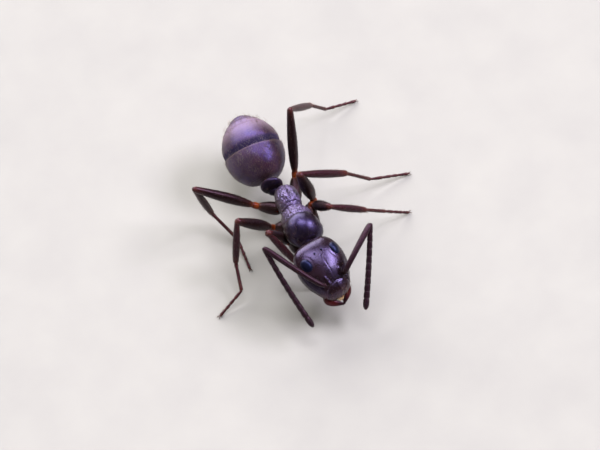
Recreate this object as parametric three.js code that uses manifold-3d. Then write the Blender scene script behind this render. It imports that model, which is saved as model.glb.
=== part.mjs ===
// A worker wood ant of the Formica fusca group, life size, standing on six feet.
// Millimetres, +Z up, head towards -Y, the ant's own left towards +X, floor at z = 0.
import * as THREE from 'three';
import Module from 'manifold-3d';
import { mergeVertices } from 'three/addons/utils/BufferGeometryUtils.js';

const wasm = await Module();
wasm.setup();

const cut = 0.03;             // clear width of every joint between two pieces
const deg = Math.PI / 180;

// --- the body: where each part sits and how it is turned (pitch, roll, heading in degrees)
const trunkPose = { at: [-0.17, 0.02, 1.22], pitch: -5, roll: 12, heading: -7 };
const headPose = { at: [-0.255, -1.69, 1.18], pitch: 29, roll: 8, heading: 8 };
const petiolePose = { at: [-0.29, 1.14, 0.95], pitch: -8, roll: 6, heading: -14 };
const gasterPose = { at: [-0.24, 2.29, 1.13], pitch: 12, roll: 4, heading: -6 };

// Outlines run from the rear to the front: [y, half width, top, bottom].
const trunkRows = [
  [0.99, 0.00, -0.14, -0.14],
  [0.95, 0.16, 0.00, -0.28],
  [0.82, 0.24, 0.15, -0.38],
  [0.56, 0.28, 0.25, -0.42],
  [0.34, 0.29, 0.25, -0.43],
  [0.20, 0.30, 0.22, -0.43],
  [0.04, 0.34, 0.34, -0.42],
  [-0.20, 0.39, 0.43, -0.40],
  [-0.42, 0.44, 0.46, -0.34],
  [-0.64, 0.48, 0.43, -0.27],
  [-0.82, 0.40, 0.30, -0.21],
  [-0.93, 0.24, 0.14, -0.17],
  [-0.99, 0.13, 0.05, -0.12],
  [-1.03, 0.00, -0.03, -0.03],
];
const trunkSutures = [0.2, -0.26];     // metanotal groove, then the rear edge of the pronotum

const headRows = [
  [0.82, 0.00, 0.02, 0.02],
  [0.80, 0.28, 0.12, -0.09],
  [0.71, 0.48, 0.24, -0.19],
  [0.48, 0.61, 0.35, -0.28],
  [0.16, 0.65, 0.39, -0.32],
  [-0.14, 0.60, 0.38, -0.31],
  [-0.42, 0.47, 0.33, -0.26],
  [-0.60, 0.36, 0.25, -0.20],
  [-0.71, 0.24, 0.14, -0.13],
  [-0.73, 0.00, 0.00, 0.00],
];
const eye = { side: 0.43, y: 0.35, z: 0.25, length: 0.36, width: 0.28, bulge: 0.2, turn: 36 };
const mandible = { root: 0.28, tip: 0.08 };
const antenna = { socket: 0.28, socketY: -0.27, thick: 0.42, clubThick: 0.46, beads: 11 };

const gasterRows = [
  [0.93, 0.00, -0.04, -0.04],
  [0.90, 0.13, 0.07, -0.15],
  [0.78, 0.31, 0.25, -0.33],
  [0.54, 0.55, 0.49, -0.54],
  [0.22, 0.71, 0.66, -0.68],
  [-0.12, 0.755, 0.71, -0.72],
  [-0.46, 0.70, 0.66, -0.66],
  [-0.74, 0.52, 0.46, -0.47],
  [-0.90, 0.26, 0.20, -0.24],
  [-0.94, 0.00, -0.04, -0.04],
];
const gasterSutures = [0.74, 0.56, 0.36, 0.07];   // from the tip forwards

const scale = { width: 0.52, height: 0.56, thick: 0.2, neck: 0.12, stalk: 0.34 };

// --- the legs: hip, then the far end of coxa, femur, shin, long first foot joint and claws.
// Reaches are [length, heading, rise]: heading from +X towards +Y, rise above level.
const legs = {
  left_middle: {
    hip: [0.06, 0.06, 0.78], coxa: [0.57, 39, -3], femur: [1.28, 141, 77],
    tibia: [1.51, -2, -37], metatarsus: [0.95, -3, -51], toes: [1.01, -9],
  },
  left_front: {
    hip: [0.06, -0.56, 0.88], coxa: [0.83, 71, 12], femur: [0.98, -70, 45.4],
    tibia: [1.16, -7, -40], metatarsus: [0.66, -3.5, -42], toes: [0.79, -3.4],
  },
  left_hind: {
    hip: [0.12, 0.70, 0.76], coxa: [0.59, 63, 6], femur: [1.86, 64, 57],
    tibia: [1.60, 37, -53], metatarsus: [0.92, 21, -59], toes: [0.85, 0],
  },
  right_front: {
    hip: [-0.46, -0.79, 1.04], coxa: [0.44, 103, -25], femur: [1.16, -178, 61],
    tibia: [1.19, -50, -57], metatarsus: [0.55, -63, -66], toes: [0.63, -49],
  },
  right_middle: {
    hip: [-0.44, 0.04, 0.87], coxa: [0.30, 146, -17], femur: [1.36, 175, 47],
    tibia: [1.29, -132, -68], metatarsus: [0.71, -106, -23], toes: [0.80, -162],
  },
  right_hind: {
    hip: [-0.36, 0.60, 0.84], coxa: [0.53, 141, -3], femur: [1.86, 157, 37],
    tibia: [1.54, 2, -77], metatarsus: [0.92, -72, -15], toes: [0.81, -96],
  },
};
const trochanterLength = 0.2;
// Stoutness: [across, up and down] half thickness at the root, the belly and the end.
const stout = {
  coxa: [[0.19, 0.19], [0.22, 0.22], [0.17, 0.18]],
  trochanter: [[0.17, 0.19], [0.18, 0.2], [0.17, 0.19]],
  femur: [[0.17, 0.19], [0.21, 0.25], [0.18, 0.21]],
  tibia: [[0.19, 0.22], [0.21, 0.23], [0.2, 0.22]],
  tarsus: [[0.2, 0.21], [0.21, 0.22], [0.19, 0.2]],
};
const footHeight = 0.14;     // centre of the last toe joint above the floor
const claws = 0.1;           // how far the rounded toe runs past that centre

const finish = {
  shell: { color: 0x241a24, roughness: 0.32, metalness: 0.0 },
  flank: { color: 0x2b2420, roughness: 0.4, metalness: 0.0 },
  gaster: { color: 0x2a1f27, roughness: 0.36, metalness: 0.0 },
  eye: { color: 0x14141c, roughness: 0.3, metalness: 0.0 },
  jaw: { color: 0x571615, roughness: 0.35, metalness: 0.0 },
  feeler: { color: 0x2e1b21, roughness: 0.45, metalness: 0.0 },
  coxa: { color: 0x3a2a1c, roughness: 0.4, metalness: 0.0 },
  trochanter: { color: 0x9a4b1c, roughness: 0.4, metalness: 0.0 },
  femur: { color: 0x21130f, roughness: 0.36, metalness: 0.0 },
  tibia: { color: 0x38191c, roughness: 0.38, metalness: 0.0 },
  tarsus: { color: 0x4a2620, roughness: 0.45, metalness: 0.0 },
};

// --- working functions
function frame({ at, pitch, roll, heading }) {
  const turn = new THREE.Euler(pitch * deg, roll * deg, heading * deg, 'ZXY');
  return new THREE.Matrix4().makeRotationFromEuler(turn).setPosition(...at);
}

function placed(local, matrix) {
  return new THREE.Vector3(...local).applyMatrix4(matrix);
}

// A closed body through the rows, rear first; grow thickens it all round.
function loft(rows, sides, rings, grow = 0) {
  const last = rows.length - 1;
  const ends = (i) => (i === 0 ? grow : i === last ? -grow : 0);
  const wide = (i, w) => (i === 0 || i === last ? 0 : w + grow);
  const high = (i) => (i === 0 || i === last ? 0 : grow);
  const smooth = (points) => new THREE.CatmullRomCurve3(points, false, 'catmullrom', 0.5);
  const plan = smooth(rows.map(([y, w], i) => new THREE.Vector3(y + ends(i), wide(i, w), 0)));
  const side = smooth(rows.map(([, , top, low], i) => new THREE.Vector3(0, top + high(i), low - high(i))));
  const body = new THREE.SphereGeometry(1, sides, rings);
  const spots = body.attributes.position;
  const v = new THREE.Vector3();
  for (let i = 0; i < spots.count; i += 1) {
    v.fromBufferAttribute(spots, i);
    const t = Math.acos(THREE.MathUtils.clamp(v.y, -1, 1)) / Math.PI;
    const reach = Math.hypot(v.x, v.z);
    const p = plan.getPoint(t);
    const q = side.getPoint(t);
    const x = reach < 1e-6 ? 0 : (v.x / reach) * Math.max(p.y, 0);
    const z = reach < 1e-6 ? 0 : (v.z / reach) * Math.max((q.y - q.z) / 2, 0);
    spots.setXYZ(i, x, p.x, (q.y + q.z) / 2 + z);
  }
  return body;
}

function solid(geometry) {
  const bare = new THREE.BufferGeometry();
  bare.setAttribute('position', geometry.attributes.position.clone());
  bare.setIndex(geometry.index ? geometry.index.clone() : null);
  const welded = mergeVertices(bare, 1e-5);
  return new wasm.Manifold(new wasm.Mesh({
    numProp: 3,
    vertProperties: new Float32Array(welded.attributes.position.array),
    triVerts: new Uint32Array(welded.index.array),
  }));
}

function surface(body) {
  const mesh = body.getMesh();
  const geometry = new THREE.BufferGeometry();
  geometry.setAttribute('position', new THREE.BufferAttribute(new Float32Array(mesh.vertProperties), 3));
  geometry.setIndex(new THREE.BufferAttribute(new Uint32Array(mesh.triVerts), 1));
  geometry.computeVertexNormals();
  return geometry;
}

// A round-ended limb along a path; girth lists [across, up and down] from root to end.
function limb(path, girth, sides, rings, over = [0, 0], waist = () => 1) {
  const length = path.getLength();
  const from = -over[0];
  const to = length + over[1];
  const body = new THREE.SphereGeometry(1, sides, rings);
  const spots = body.attributes.position;
  const v = new THREE.Vector3();
  const up = new THREE.Vector3();
  const side = new THREE.Vector3();
  for (let i = 0; i < spots.count; i += 1) {
    v.fromBufferAttribute(spots, i);
    const s = to + (from - to) * (0.5 - 0.5 * v.y);
    const u = THREE.MathUtils.clamp(s / length, 0, 1);
    const centre = path.getPointAt(u);
    const tangent = path.getTangentAt(u);
    centre.addScaledVector(tangent, s - u * length);
    const lean = Math.abs(tangent.z) > 0.97 ? new THREE.Vector3(1, 0, 0) : new THREE.Vector3(0, 0, 1);
    side.crossVectors(tangent, lean).normalize();
    up.crossVectors(side, tangent).normalize();
    const k = Math.min(u * 2, 1.999);
    const a = girth[Math.floor(k)];
    const b = girth[Math.floor(k) + 1];
    const f = 0.5 - 0.5 * Math.cos((k % 1) * Math.PI);
    const fromEnd = Math.min(s - from, to - s) / Math.max(a[1], 0.05);
    const round = Math.sqrt(Math.max(0, 1 - (1 - Math.min(fromEnd, 1)) ** 2)) * waist(u);
    const reach = Math.hypot(v.x, v.z) || 1;
    const across = (v.x / reach) * (a[0] + (b[0] - a[0]) * f) * round;
    const rise = (v.z / reach) * (a[1] + (b[1] - a[1]) * f) * round;
    centre.addScaledVector(side, across).addScaledVector(up, rise);
    spots.setXYZ(i, centre.x, centre.y, centre.z);
  }
  return solid(body);
}

// Keeps the part of a body on the side of a plane that the normal points to.
function keep(body, point, normal, gap = cut / 2) {
  const block = new THREE.BoxGeometry(8, 8, 8);
  const away = normal.clone().normalize();
  block.applyQuaternion(new THREE.Quaternion().setFromUnitVectors(new THREE.Vector3(0, 0, 1), away));
  const middle = point.clone().addScaledVector(away, 4 + gap);
  block.translate(middle.x, middle.y, middle.z);
  return body.intersect(solid(block));
}

function biggest(body) {
  return body.decompose().sort((a, b) => b.volume() - a.volume())[0];
}

const ant = new THREE.Group();
ant.name = 'ant';
const made = {};

function add(name, body, look) {
  const piece = biggest(body);
  const material = new THREE.MeshStandardMaterial({ name, ...finish[look] });
  const mesh = new THREE.Mesh(surface(piece), material);
  mesh.name = name;
  ant.add(mesh);
  made[name] = piece;
  return piece;
}

function grown(rows, sides, rings, matrix) {
  return solid(loft(rows, sides, rings, cut).applyMatrix4(matrix));
}

// Cuts a lofted body across its length and names the slices from the rear.
function slices(body, matrix, sutures, names, look) {
  const forward = new THREE.Vector3(0, -1, 0).transformDirection(matrix);
  names.forEach((name, i) => {
    let piece = body;
    if (i > 0) piece = keep(piece, placed([0, sutures[i - 1], 0], matrix), forward);
    if (i < sutures.length) {
      piece = keep(piece, placed([0, sutures[i], 0], matrix), forward.clone().negate());
    }
    add(name, piece, look);
  });
}

// --- trunk
const trunkFrame = frame(trunkPose);
const trunk = solid(loft(trunkRows, 16, 22).applyMatrix4(trunkFrame));
const trunkClear = grown(trunkRows, 16, 22, trunkFrame);

// --- petiole: a short stalk with its upright scale
const petioleFrame = frame(petiolePose);
const scaleBody = new THREE.SphereGeometry(0.5, 12, 8);
scaleBody.scale(scale.width, scale.thick, scale.height).translate(0, 0, 0.13);
const stalk = new THREE.CapsuleGeometry(scale.neck, scale.stalk, 3, 8);
const petioleRaw = solid(scaleBody.applyMatrix4(petioleFrame)).add(solid(stalk.applyMatrix4(petioleFrame)));

// --- gaster
const gasterFrame = frame(gasterPose);
const gasterBody = solid(loft(gasterRows, 20, 15).applyMatrix4(gasterFrame));
const gasterClear = grown(gasterRows, 20, 15, gasterFrame);
const petiole = add('petiole', petioleRaw.subtract(trunkClear).subtract(gasterClear), 'shell');
const plates = ['gaster_5', 'gaster_4', 'gaster_3', 'gaster_2', 'gaster_1'];
slices(gasterBody, gasterFrame, gasterSutures, plates, 'gaster');

// --- head, eyes, jaws
const headFrame = frame(headPose);
const headClear = grown(headRows, 18, 14, headFrame);
let skull = solid(loft(headRows, 18, 14).applyMatrix4(headFrame));

function eyeShape(hand, grow) {
  const ball = new THREE.SphereGeometry(0.5, 12, 7);
  ball.scale(eye.width + grow, eye.length + grow, eye.bulge + grow);
  ball.rotateY(hand * eye.turn * deg);
  ball.translate(hand * eye.side, eye.y, eye.z);
  return solid(ball.applyMatrix4(headFrame));
}

function jawShape(hand) {
  const path = new THREE.CatmullRomCurve3([
    placed([hand * mandible.root, -0.46, -0.05], headFrame),
    placed([hand * mandible.root, -0.72, -0.06], headFrame),
    placed([hand * mandible.tip, -0.92, -0.08], headFrame),
  ]);
  return limb(path, [[0.12, 0.14], [0.14, 0.15], [0.1, 0.1]], 8, 7, [0.05, 0.04]);
}

for (const hand of [1, -1]) {
  skull = skull.subtract(eyeShape(hand, cut * 2));
}
add('head', skull, 'shell');
for (const [side, hand] of [['left', 1], ['right', -1]]) {
  add(`eye_${side}`, eyeShape(hand, 0), 'eye');
  const middle = placed([0, -0.9, 0], headFrame);
  const outward = new THREE.Vector3(hand, 0, 0).transformDirection(headFrame);
  add(`mandible_${side}`, keep(jawShape(hand).subtract(headClear), middle, outward), 'jaw');
}
const trunkPieces = trunk.subtract(headClear);
slices(trunkPieces, trunkFrame, trunkSutures, ['propodeum', 'mesothorax', 'pronotum'], 'flank');

// --- feelers: a long scape from its socket, then eleven beads in one curved whip
const feelers = {
  left: {
    lift: [0.3, -1.99, 1.62], elbow: [1.18, -1.4, 1.86], middle: [0.74, -2.1, 1.28], tip: [0.24, -2.82, 0.62],
  },
  right: {
    lift: [-0.78, -1.84, 1.62], elbow: [-1.42, -0.86, 2.08], middle: [-1.28, -1.75, 1.32], tip: [-1.08, -2.62, 0.6],
  },
};
for (const [side, hand] of [['left', 1], ['right', -1]]) {
  const f = feelers[side];
  const socket = placed([hand * antenna.socket, antenna.socketY, 0.36], headFrame);
  const elbow = new THREE.Vector3(...f.elbow);
  const lift = new THREE.Vector3(...f.lift);
  const tip = new THREE.Vector3(...f.tip);
  const middle = new THREE.Vector3(...f.middle);
  const shaft = new THREE.CatmullRomCurve3([socket, lift, elbow]);
  const whip = new THREE.CatmullRomCurve3([elbow, middle, tip]);
  const half = antenna.thick / 2;
  const club = antenna.clubThick / 2;
  const bend = shaft.getTangentAt(1).add(whip.getTangentAt(0)).normalize();
  const scape = limb(shaft, [[0.19, 0.19], [half, half], [half, half]], 10, 9, [0.1, half]);
  add(`scape_${side}`, keep(scape.subtract(headClear), elbow, bend.clone().negate()), 'feeler');
  const beads = (u) => 1 - 0.05 * (0.5 + 0.5 * Math.cos(u * antenna.beads * 2 * Math.PI));
  const lash = limb(whip, [[half, half], [half, half], [club, club]], 10, 18, [half, 0], beads);
  add(`funiculus_${side}`, keep(lash, elbow, bend), 'feeler');
}

// --- legs
function reach(start, [length, heading, rise]) {
  const level = Math.cos(rise * deg) * length;
  return new THREE.Vector3(
    start.x + level * Math.cos(heading * deg),
    start.y + level * Math.sin(heading * deg),
    start.z + length * Math.sin(rise * deg),
  );
}

function clearOf(body) {
  return rootsClear.reduce((rest, other) => rest.subtract(other), body);
}

function between(a, b) {
  return b.clone().sub(a).normalize();
}

const rootsClear = [trunkClear, petioleRaw];    // what the next leg's root keeps clear of
const thicker = (girth) => girth.map(([across, rise]) => [across + cut, rise + cut]);

for (const [name, leg] of Object.entries(legs)) {
  const hip = new THREE.Vector3(...leg.hip);
  const root = reach(hip, leg.coxa);
  const knee = reach(root, leg.femur);
  const ankle = reach(knee, leg.tibia);
  const instep = reach(ankle, leg.metatarsus);
  const drop = Math.asin((footHeight - instep.z) / leg.toes[0]) / deg;
  const toe = reach(instep, [...leg.toes, drop]);
  const along = between(root, knee);
  const ring = root.clone().addScaledVector(along, trochanterLength);
  const atRoot = between(hip, root).add(along).normalize();
  const atKnee = along.clone().add(between(knee, ankle)).normalize();
  const atAnkle = between(knee, ankle).add(between(ankle, instep)).normalize();
  const line = (a, b) => new THREE.LineCurve3(a, b);

  let coxa = limb(line(hip, root), stout.coxa, 8, 6, [0.12, stout.coxa[2][1]]);
  coxa = keep(clearOf(coxa), root, atRoot.clone().negate());
  add(`coxa_${name}`, coxa, 'coxa');

  let trochanter = limb(line(root, ring), stout.trochanter, 10, 5, [0.17, 0.19]);
  trochanter = keep(keep(clearOf(trochanter), root, atRoot), ring, along.clone().negate());
  add(`trochanter_${name}`, trochanter, 'trochanter');

  let femur = limb(line(ring, knee), stout.femur, 10, 7, [0.19, 0.2]);
  femur = keep(keep(clearOf(femur), ring, along), knee, atKnee.clone().negate());
  add(`femur_${name}`, femur, 'femur');

  let tibia = limb(line(knee, ankle), stout.tibia, 10, 7, [0.2, 0.2]);
  tibia = keep(keep(tibia, knee, atKnee), ankle, atAnkle.clone().negate());
  add(`tibia_${name}`, tibia, 'tibia');

  const sole = new THREE.CatmullRomCurve3([ankle, instep, toe]);
  let tarsus = limb(sole, stout.tarsus, 10, 8, [0.19, claws]);
  tarsus = keep(tarsus, ankle, atAnkle);
  tarsus = keep(tarsus, new THREE.Vector3(), new THREE.Vector3(0, 0, 1), 0);
  add(`tarsus_${name}`, tarsus, 'tarsus');
  rootsClear.push(limb(line(hip, root), thicker(stout.coxa), 8, 6, [0.15, stout.coxa[2][1] + cut]));
  rootsClear.push(limb(line(root, ring), thicker(stout.trochanter), 10, 5, [0.2, 0.22]));
}

// The origin is under the middle of the ant, on the floor.
const room = new THREE.Box3();
ant.children.forEach((mesh) => {
  mesh.geometry.computeBoundingBox();
  room.union(mesh.geometry.boundingBox);
});
const centre = room.getCenter(new THREE.Vector3());
ant.children.forEach((mesh) => {
  mesh.geometry.translate(-centre.x, -centre.y, -room.min.z);
});

export default ant;
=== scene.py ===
import math
from random import Random

import bpy
import numpy as np
from mathutils import Matrix, Vector


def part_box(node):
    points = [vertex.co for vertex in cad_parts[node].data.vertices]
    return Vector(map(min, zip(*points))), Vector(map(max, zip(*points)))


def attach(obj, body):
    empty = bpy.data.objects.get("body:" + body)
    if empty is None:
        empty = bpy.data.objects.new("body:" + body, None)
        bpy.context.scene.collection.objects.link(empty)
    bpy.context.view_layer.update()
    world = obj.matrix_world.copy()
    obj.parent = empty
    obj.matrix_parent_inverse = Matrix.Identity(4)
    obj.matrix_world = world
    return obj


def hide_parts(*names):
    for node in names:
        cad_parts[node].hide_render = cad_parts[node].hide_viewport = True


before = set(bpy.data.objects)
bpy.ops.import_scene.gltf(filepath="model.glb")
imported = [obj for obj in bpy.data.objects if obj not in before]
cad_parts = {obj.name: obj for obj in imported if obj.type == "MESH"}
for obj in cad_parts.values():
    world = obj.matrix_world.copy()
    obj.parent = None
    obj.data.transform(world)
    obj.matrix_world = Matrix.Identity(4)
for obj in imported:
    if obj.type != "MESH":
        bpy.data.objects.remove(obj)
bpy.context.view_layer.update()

# An ant worker on six feet. Everything is modelled at 1 unit = 1 mm and made
# real size when its piece is finished. +Z up, head towards -Y, the ant's left at +X.
mm = 0.001
print("frame loaded")

# where each part of the body sits and how it is turned, pitch, roll and heading in degrees
stand = {
    "trunk": {"at": (-0.17, 0.02, 1.22), "turn": (-5, 12, -7)},
    "head": {"at": (-0.255, -1.69, 1.18), "turn": (29, 8, 8)},
    "petiole": {"at": (-0.29, 1.14, 0.95), "turn": (-8, 6, -14)},
    "gaster": {"at": (-0.24, 2.29, 1.13), "turn": (12, 4, -6)},
    "headMiddle": (-0.2690, -1.6543, 1.2257),   # middle of the head solid in these same numbers
}


def middle(node):
    low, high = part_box(node)
    return (low + high) / 2 / mm


# the frame puts the ant over its origin, so everything here moves by the same step
step = middle("head") - Vector(stand["headMiddle"])


def bodyFrame(part):
    pitch, roll, heading = (math.radians(a) for a in stand[part]["turn"])
    turn = Matrix.Rotation(heading, 4, "Z") @ Matrix.Rotation(pitch, 4, "X") @ Matrix.Rotation(roll, 4, "Y")
    return Matrix.Translation(Vector(stand[part]["at"]) + step) @ turn


def choose(*pieces):
    if bpy.context.object and bpy.context.object.mode != "OBJECT":
        bpy.ops.object.mode_set(mode="OBJECT")
    bpy.ops.object.select_all(action="DESELECT")
    for piece in pieces:
        piece.select_set(True)
    if pieces:
        bpy.context.view_layer.objects.active = pieces[0]


def editAll():
    bpy.ops.object.mode_set(mode="EDIT")
    bpy.ops.mesh.select_all(action="SELECT")


# a ring drawn out along Y through stations (along, half width, half height, across, up); a round
# one may leave out its half height, and the last two are 0 where they are left out
def drawOut(name, stations, sides, levels=0):
    choose()
    stations = [(*s, *(s[1], 0, 0)[len(s) - 2:]) for s in stations]
    along, wide, high, across, up = stations[0]
    bpy.ops.mesh.primitive_circle_add(vertices=sides, radius=1, fill_type="NGON",
                                      location=(across, along, up), rotation=(math.pi / 2, 0, 0))
    piece = bpy.context.object
    piece.name = piece.data.name = name
    bpy.ops.object.transform_apply(location=True, rotation=True, scale=True)
    editAll()
    bpy.ops.transform.resize(value=(wide, 1, high), center_override=(across, along, up))
    for y, w, h, x, z in stations[1:]:
        bpy.ops.mesh.extrude_region_move(TRANSFORM_OT_translate={"value": (x - across, y - along, z - up)})
        bpy.ops.transform.resize(value=(w / wide, 1, h / high), center_override=(x, y, z))
        along, wide, high, across, up = y, w, h, x, z
    bpy.ops.mesh.select_all(action="SELECT")
    bpy.ops.mesh.normals_make_consistent(inside=False)
    bpy.ops.object.mode_set(mode="OBJECT")
    sortMesh(piece)
    if levels:
        soften(piece, levels)
    return piece


def soften(piece, levels):
    choose(piece)
    bpy.ops.object.modifier_add(type="SUBSURF")
    smoother = piece.modifiers[-1]
    smoother.levels = smoother.render_levels = levels
    bpy.ops.object.modifier_apply(modifier=smoother.name)


# rows [along, half width, top, bottom] as stations
def fromRows(rows):
    return [(y, w, (top - low) / 2, 0, (top + low) / 2) for y, w, top, low in rows]


def spotsOf(piece):
    spots = np.zeros(len(piece.data.vertices) * 3)
    piece.data.vertices.foreach_get("co", spots)
    return spots.reshape(-1, 3)


def normalsOf(piece):
    normals = np.zeros(len(piece.data.vertices) * 3)
    piece.data.vertex_normals.foreach_get("vector", normals)
    return normals.reshape(-1, 3)


def putSpots(piece, spots):
    piece.data.vertices.foreach_set("co", spots.ravel())
    piece.data.update()


def ease(x):
    x = np.clip(x, 0, 1)
    return x * x * (3 - 2 * x)


# a thumb press out of the surface, or into it where amount is below zero
def press(piece, spot, reach, amount):
    spots = spotsOf(piece)
    away = np.linalg.norm((spots - np.array(spot)) / np.array(reach), axis=1)
    putSpots(piece, spots + normalsOf(piece) * (amount * ease(1 - away))[:, None])


# a crease or a ridge along a line of points, seen from above the part
def crease(piece, points, width, amount, under=-9):
    spots = spotsOf(piece)
    points = np.array(points, float)
    nearest = np.full(len(spots), 1e9)
    for a, b in zip(points[:-1], points[1:]):
        t = np.clip(((spots[:, :2] - a) @ (b - a)) / ((b - a) @ (b - a)), 0, 1)
        nearest = np.minimum(nearest, np.linalg.norm(spots[:, :2] - a - t[:, None] * (b - a), axis=1))
    fade = np.exp(-(nearest / width) ** 2) * (spots[:, 2] > under)
    putSpots(piece, spots + normalsOf(piece) * (amount * fade)[:, None])


# extruding leaves faces in a chance order and hair is sown by that order, so it is settled here
def sortMesh(piece):
    spots = spotsOf(piece)
    order = np.lexsort(spots.T[[2, 0, 1]])   # along the piece, then across, then up
    places = np.argsort(order)
    faces = [places[list(face.vertices)].tolist() for face in piece.data.polygons]
    faces = sorted(face[face.index(min(face)):] + face[:face.index(min(face))] for face in faces)
    piece.data.clear_geometry()
    piece.data.from_pydata(spots[order].tolist(), [], faces)
    piece.data.update()


# a value kept on the mesh for its material
def mark(piece, name, values):
    note = piece.data.attributes.new(name, "FLOAT", "POINT")
    note.data.foreach_set("value", np.asarray(values, np.float32))


def copyOf(piece, name, matrix):
    twin = piece.copy()
    twin.data = piece.data.copy()
    twin.name = twin.data.name = name
    bpy.context.scene.collection.objects.link(twin)
    twin.data.transform(matrix)
    if matrix.determinant() < 0:
        twin.data.flip_normals()
    return twin


def join(name, pieces):
    choose(*pieces)
    if len(pieces) > 1:
        bpy.ops.object.join()
    joined = bpy.context.object
    joined.name = joined.data.name = name
    return joined


def discard(*pieces):
    for piece in pieces:
        bpy.data.meshes.remove(piece.data)


# from a towards b along Y, at its real length, with Z as near up as it goes
def boneFrame(a, b, stretch=True, girth=1.0):
    along = (b - a).normalized()
    across = along.cross(Vector((0, 0, 1))).normalized()
    top = across.cross(along)
    length = (b - a).length if stretch else 1
    return Matrix((*zip(across * girth, along * length, top * girth, a), (0, 0, 0, 1)))


skins = {}   # the pieces hair grows on, still at 1 unit = 1 mm


def keepSkin(piece, name):
    skins[name] = piece.copy()
    skins[name].data = piece.data.copy()


def done(piece, material, slot, *nodes):
    choose(piece)
    bpy.ops.object.shade_smooth()
    piece.data.transform(Matrix.Scale(mm, 4))
    piece.data.materials.clear()
    piece.data.materials.append(material)
    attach(piece, "root")
    if nodes:
        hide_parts(*nodes)
    return piece


def colour(hexCode):
    parts = [int(hexCode[i:i + 2], 16) / 255 for i in (1, 3, 5)]
    return (*[c / 12.92 if c <= 0.04045 else ((c + 0.055) / 1.055) ** 2.4 for c in parts], 1)


# one node with its settings and its links
def put(tree, kind, settings=None, wires=None):
    node = tree.nodes.new("ShaderNode" + kind)
    for name, value in (settings or {}).items():
        if isinstance(name, str) and hasattr(node, name):
            setattr(node, name, value)
        else:
            node.inputs[name].default_value = value
    for name, source in (wires or {}).items():
        tree.links.new(source, node.inputs[name])
    return node


def newMaterial(name, settings):
    material = bpy.data.materials.new(name)
    material.use_nodes = True
    tree = material.node_tree
    shader = tree.nodes["Principled BSDF"]
    for socket, value in settings.items():
        shader.inputs[socket].default_value = value
    return material, tree, shader, put(tree, "TexCoord").outputs["Object"]


def wire(tree, shader, sources):
    for name, source in sources.items():
        tree.links.new(source, shader.inputs[name])


def stops(tree, factor, colours):
    ramp = put(tree, "ValToRGB", wires={"Fac": factor})
    band = ramp.color_ramp
    band.elements[0].position, band.elements[0].color = colours[0][0], colour(colours[0][1])
    band.elements[1].position, band.elements[1].color = colours[-1][0], colour(colours[-1][1])
    for position, code in colours[1:-1]:
        band.elements.new(position).color = colour(code)
    return ramp.outputs["Color"]


# cloudy noise, its clouds of this size in mm
def clouds(tree, place, size, detail=2.0, roughness=0.5):
    return put(tree, "TexNoise", {"Scale": 1 / (size * mm), "Detail": detail, "Roughness": roughness},
               {"Vector": place}).outputs["Fac"]


# a net of small domes, this far apart in mm
def domes(tree, place, size, smoothness):
    settings = {"feature": "SMOOTH_F1", "Scale": 1 / (size * mm), "Smoothness": smoothness}
    return put(tree, "TexVoronoi", settings, {"Vector": place}).outputs["Distance"]


# relief of this depth in mm, over another relief where one is given
def relief(tree, height, strength, depth, under=None):
    wires = {"Height": height} if under is None else {"Height": height, "Normal": under}
    return put(tree, "Bump", {"Strength": strength, "Distance": depth * mm}, wires).outputs["Normal"]


# a value marked on the mesh
def marked(tree, name):
    return put(tree, "Attribute", {"attribute_name": name}).outputs["Fac"]


def tinted(tree, body, code, factor):
    return put(tree, "Mix", {"data_type": "RGBA", 7: colour(code)}, {0: factor, 6: body}).outputs[2]


def flecked(tree, body, specks, amount):
    return put(tree, "Mix", {"data_type": "RGBA", "blend_type": "SOFT_LIGHT", 0: amount},
               {6: body, 7: specks}).outputs[2]


def reckon(tree, operation, first, second=None, third=None):
    node = put(tree, "Math", {"operation": operation}, {0: first})
    if second is not None:
        node.inputs[1].default_value = second
    if third is not None:
        tree.links.new(third, node.inputs[2])
    return node.outputs["Value"]


# Hardened chitin, polished by its own wax: dark, glossy and faintly violet where the sky is in it.
def chitin(name, look):
    material, tree, shader, place = newMaterial(name, {
        "IOR": 1.56, "Specular Tint": colour(look["tint"]), "Specular IOR Level": look["shine"],
        "Coat Weight": look["wax"], "Coat Roughness": 0.22})
    body = stops(tree, clouds(tree, place, look["patch"], 4.0, 0.6),
                 [(0.32, look["dark"]), (0.68, look["light"])])
    # a tone laid where marked: the head's own paler front and underside, the waist scale's rim, and a painted
    # olive reflection on the trunk's flanks
    body = tinted(tree, body, look["edge"], marked(tree, "pale"))
    if "deep" in look:
        body = tinted(tree, body, look["deep"], marked(tree, "deep"))
    # the net of tiny cells that the skin below left on the shell, then its shallow dents
    net = relief(tree, domes(tree, place, look["cell"], 0.6), look["cellDepth"], look["cell"] * 0.5)
    dents = clouds(tree, place, look["dent"], 3.0)
    # wax worn unevenly, so the gloss varies a little
    worn = put(tree, "MapRange", {"From Min": 0.3, "From Max": 0.7, "To Min": look["roughness"] - 0.05,
                                  "To Max": look["roughness"] + 0.07}, {"Value": dents}).outputs["Result"]
    wire(tree, shader, {"Base Color": body, "Roughness": worn,
                        "Normal": relief(tree, dents, look["dentDepth"], look["dent"] * 0.3, net)})
    return material


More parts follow.
